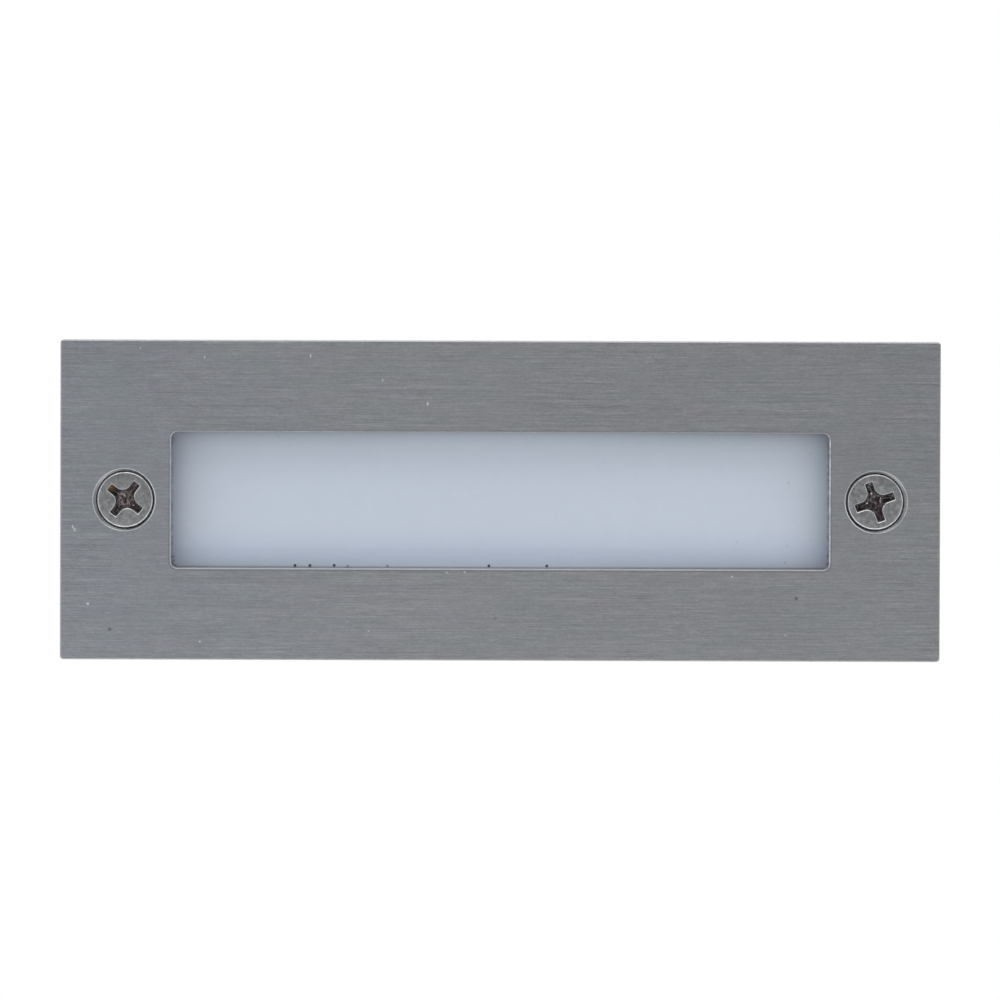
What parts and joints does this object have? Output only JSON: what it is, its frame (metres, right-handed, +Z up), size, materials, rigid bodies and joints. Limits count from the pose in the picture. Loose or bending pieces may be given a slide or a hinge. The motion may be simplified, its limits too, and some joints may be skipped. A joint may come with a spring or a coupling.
{
  "type": "step light",
  "caption": "Recessed step light: a brushed steel faceplate with a frosted window, on a sealed LED lamp body that slides into a wall box and is held by captive face screws.",
  "frame": {"origin": "centre of the wall box's rim, on the face that rests on the wall", "axes": "+X to the viewer's right, +Y into the wall, +Z up; the faceplate looks along -Y"},
  "size_m": [0.11, 0.0626, 0.04],
  "materials": {
    "plate_steel": "horizontally brushed stainless",
    "screw_steel": "satin stainless",
    "frosted_lens": "frosted",
    "box_plastic": "fine moulded texture",
    "cast_alloy": "blasted casting",
    "insert_brass": "satin",
    "black_rubber": "matt",
    "grey_seal": "matt",
    "white_plastic": "satin white",
    "led_board_face": "white solder mask",
    "led_package": "phosphor",
    "thermal_sheet": "matt",
    "red_lead": "satin",
    "black_lead": "satin",
    "driver_laminate": "green solder mask",
    "transformer_tape": "wound tape",
    "capacitor_sleeve": "shrink sleeve",
    "chip_black": "matt",
    "terminal_plastic": "satin",
    "zinc_steel": "bright zinc",
    "gland_plastic": "moulded nylon"
  },
  "bodies": {
    "recess": {"recess_box": "box_plastic", "thread_inserts": "insert_brass", "box_grommet": "black_rubber"},
    "lamp_insert": {"face_gasket": "black_rubber", "faceplate": "plate_steel", "weld_studs": "zinc_steel", "stud_washers": "zinc_steel", "stud_nuts": "zinc_steel", "lens": "frosted_lens", "lens_seal": "grey_seal", "lamp_body": "cast_alloy", "reflector": "white_plastic", "led_board": "led_board_face", "leds": "led_package", "thermal_pad": "thermal_sheet", "board_screws": "zinc_steel", "led_lead_red": "red_lead", "led_lead_black": "black_lead", "driver_board": "driver_laminate", "driver_transformer": "transformer_tape", "driver_capacitors": "capacitor_sleeve", "driver_chips": "chip_black", "driver_terminal": "terminal_plastic", "driver_screws": "zinc_steel", "rear_gasket": "grey_seal", "rear_cover": "cast_alloy", "cover_screws": "zinc_steel", "gland_locknut": "gland_plastic", "gland_oring": "black_rubber", "gland_body": "gland_plastic", "gland_seal": "black_rubber", "gland_nut": "gland_plastic"},
    "left_retainer": {"retainer_left": "zinc_steel"},
    "left_screw": {"screw_left": "screw_steel"},
    "right_retainer": {"retainer_right": "zinc_steel"},
    "right_screw": {"screw_right": "screw_steel"}
  },
  "joints": [
    {"name": "lamp_insert_slide", "type": "slide", "parent": "recess", "child": "lamp_insert", "axis": [0, -1, 0], "range_m": [0, 0.05]},
    {"name": "screw_left_slide", "type": "slide", "parent": "lamp_insert", "child": "left_retainer", "axis": [0, -1, 0], "range_m": [0, 0.0098]},
    {"name": "screw_left_turn", "type": "hinge", "parent": "left_retainer", "child": "left_screw", "pos_m": [-0.0469, 0, 0], "axis": [0, -1, 0], "range_deg": [0, 5041]},
    {"name": "screw_right_slide", "type": "slide", "parent": "lamp_insert", "child": "right_retainer", "axis": [0, -1, 0], "range_m": [0, 0.0098]},
    {"name": "screw_right_turn", "type": "hinge", "parent": "right_retainer", "child": "right_screw", "pos_m": [0.0469, 0, 0], "axis": [0, -1, 0], "range_deg": [0, 5041]}
  ],
  "couplings": [
    {"joint": "screw_left_turn", "follows": "screw_left_slide", "rad_per_m": 8976},
    {"joint": "screw_right_turn", "follows": "screw_right_slide", "rad_per_m": 8976}
  ]
}
